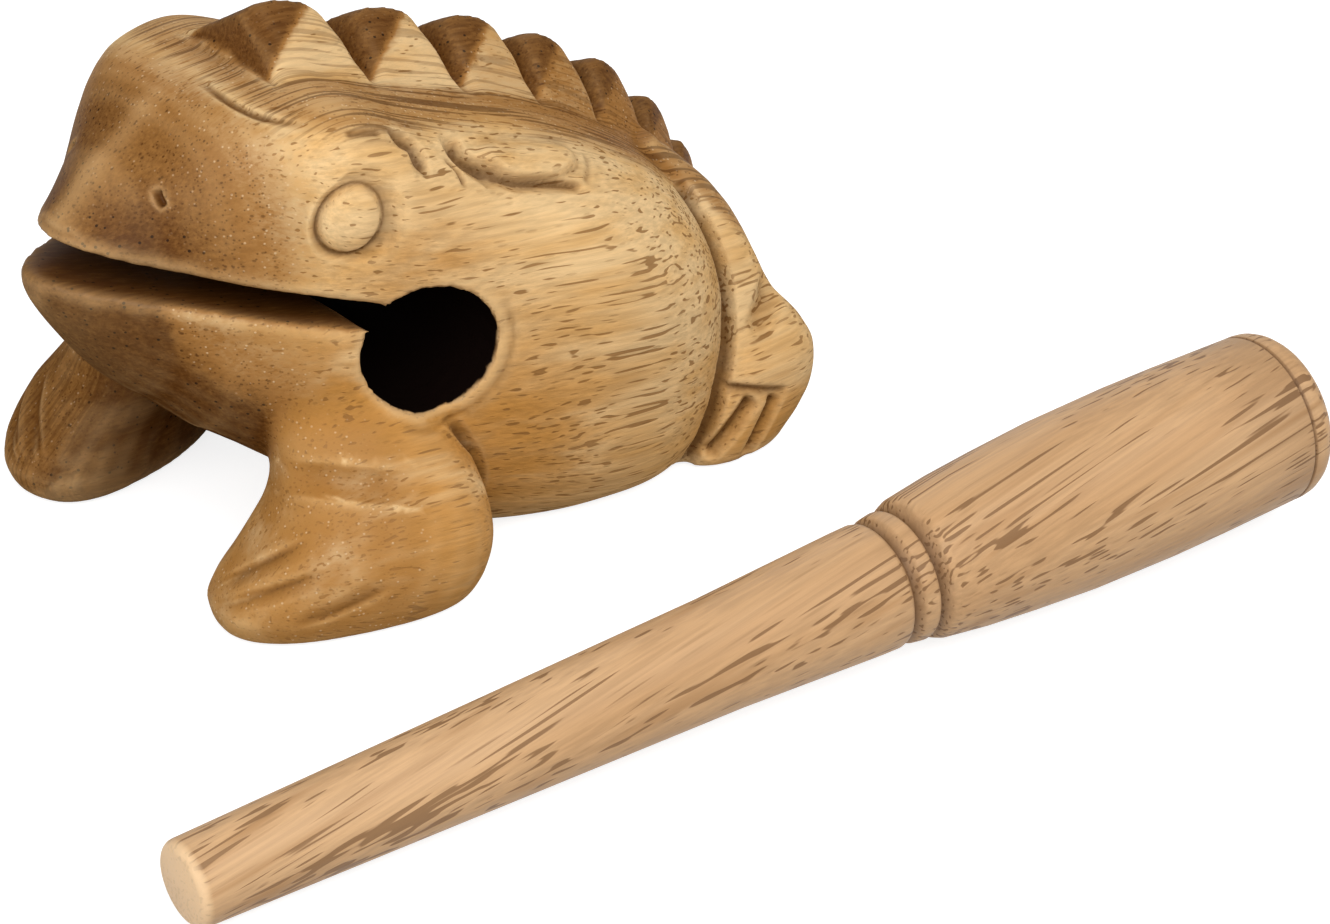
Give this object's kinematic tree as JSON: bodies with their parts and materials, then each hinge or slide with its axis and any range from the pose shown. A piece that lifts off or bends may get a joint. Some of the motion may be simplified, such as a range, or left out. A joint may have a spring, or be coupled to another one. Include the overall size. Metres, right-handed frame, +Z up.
{
  "type": "frog guiro",
  "caption": "Carved wooden frog rasp with a notched spine, a sawn mouth slot and a cross bore that stores its loose turned scraper stick.",
  "frame": {"origin": "on the ground under the frog's belly, in its middle plane, 51 mm behind the lower lip", "axes": "+X to the frog's left along the cross bore, +Y towards its rump, +Z up; the frog faces -Y"},
  "size_m": [0.1275, 0.1594, 0.0687],
  "materials": {
    "frog_wood": "oiled carved hardwood, torched dark on the back and lips",
    "stick_wood": "smooth turned hardwood, lightly waxed"
  },
  "bodies": {
    "frog": {"frog_body": "frog_wood"},
    "stick": {"scraper_stick": "stick_wood"}
  },
  "joints": [
    {"name": "stick_lift", "type": "slide", "parent": "frog", "child": "stick", "axis": [0, 0, 1], "range_m": [0, 0.12]}
  ]
}
